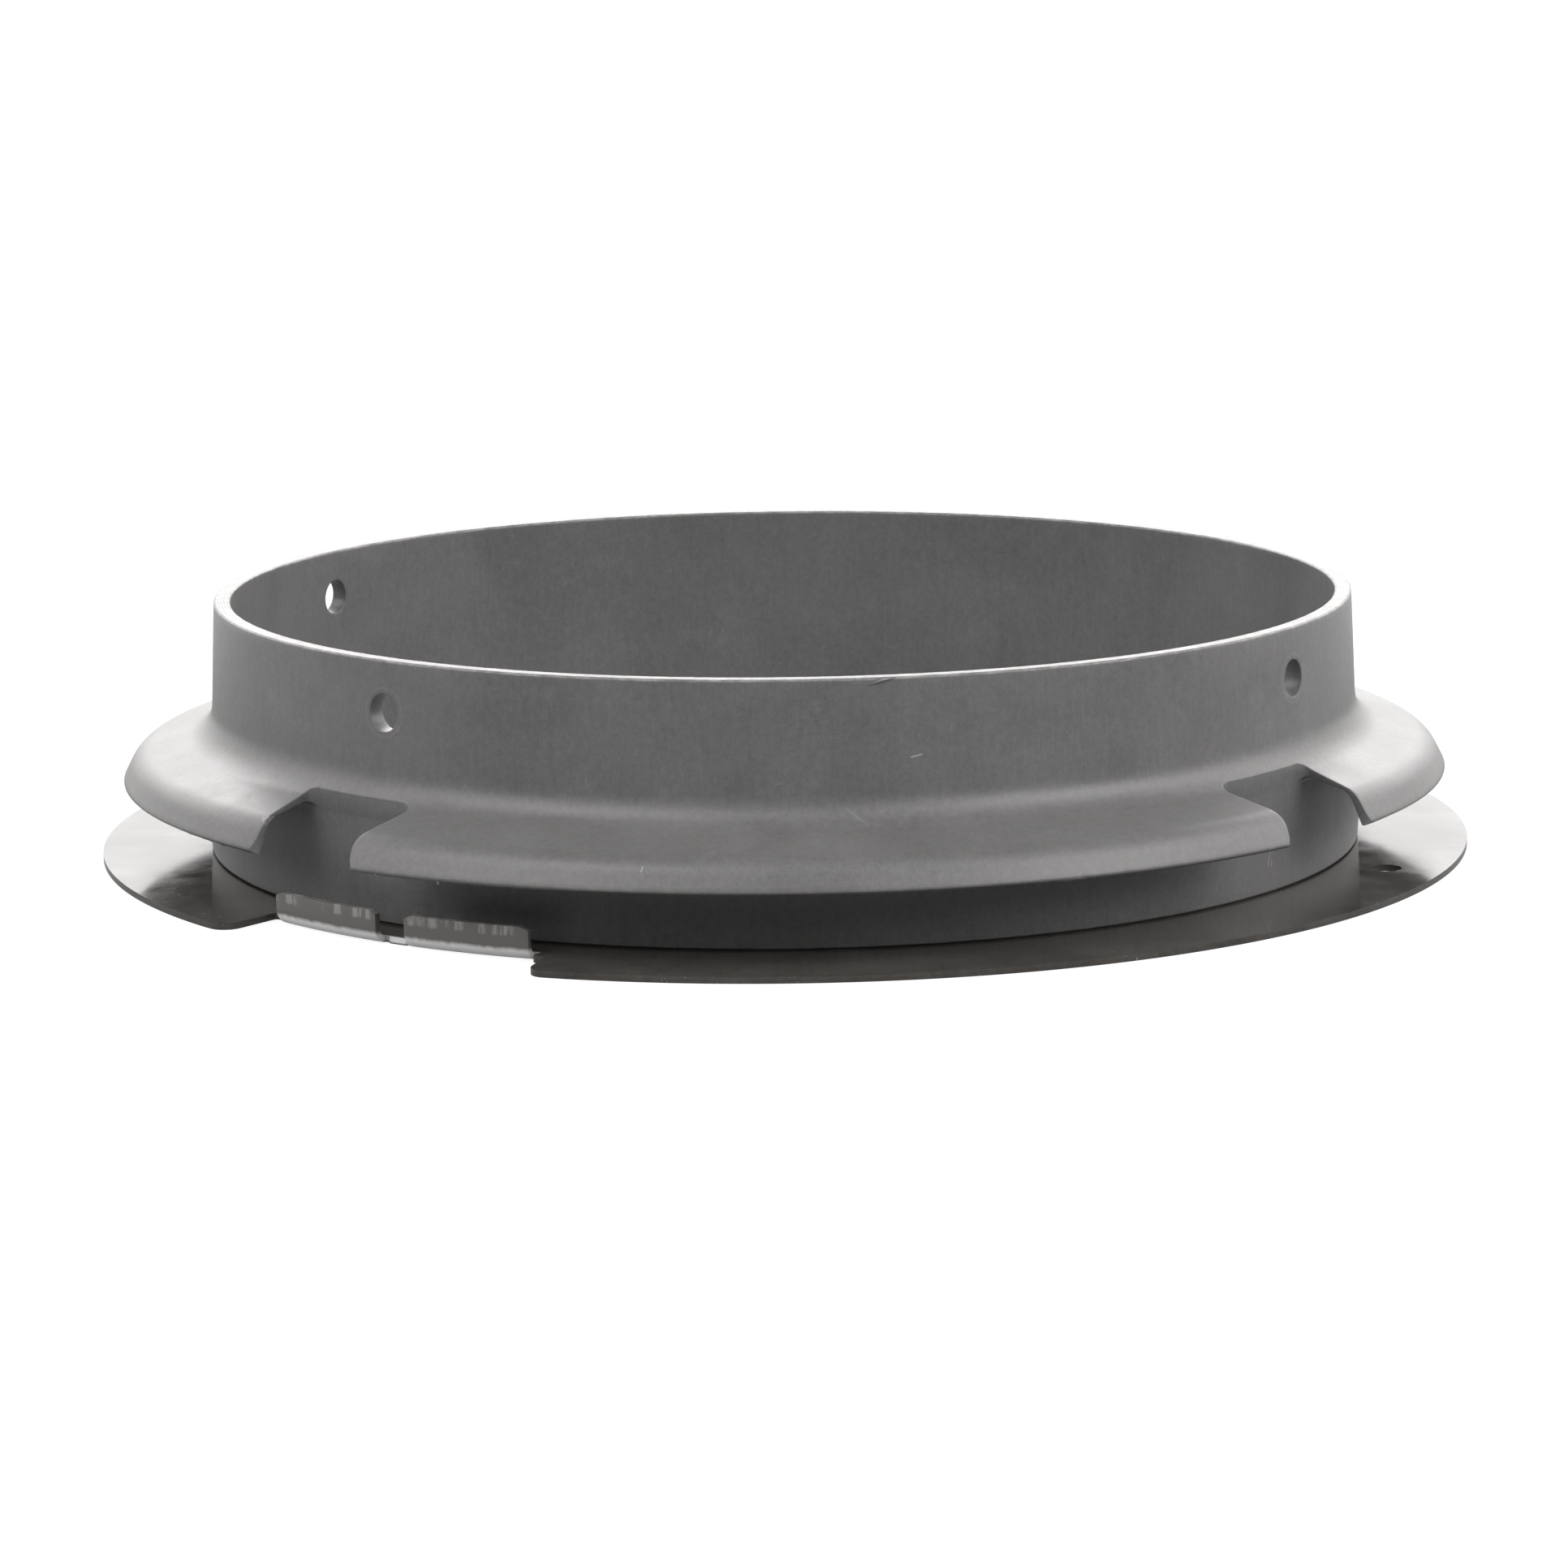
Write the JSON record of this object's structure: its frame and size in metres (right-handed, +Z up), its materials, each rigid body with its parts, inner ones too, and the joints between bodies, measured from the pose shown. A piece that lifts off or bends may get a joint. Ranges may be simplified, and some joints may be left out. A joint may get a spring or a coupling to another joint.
{
  "type": "round connection collar",
  "caption": "Tapered grey plastic sleeve with a sectored umbrella flange, standing on a flat black steel mounting ring with notches and upturned lips.",
  "frame": {"origin": "middle of the mounting ring's underside, on the sleeve's axis", "axes": "+Z up along the sleeve's axis towards its rim; -Y is the front seen in the picture, with the notch at its left; +X is to the right"},
  "size_m": [0.1836, 0.1836, 0.0341],
  "materials": {
    "collar_plastic": "satin moulded mid-grey plastic with faint vertical flow streaks, scuffs and trimmed, slightly burred edges",
    "ring_paint": "glossy black paint on pressed steel sheet, dusty, worn pale on the outer faces of the upturned lips"
  },
  "bodies": {
    "root": {"collar": "collar_plastic", "mounting_ring": "ring_paint"}
  },
  "joints": []
}
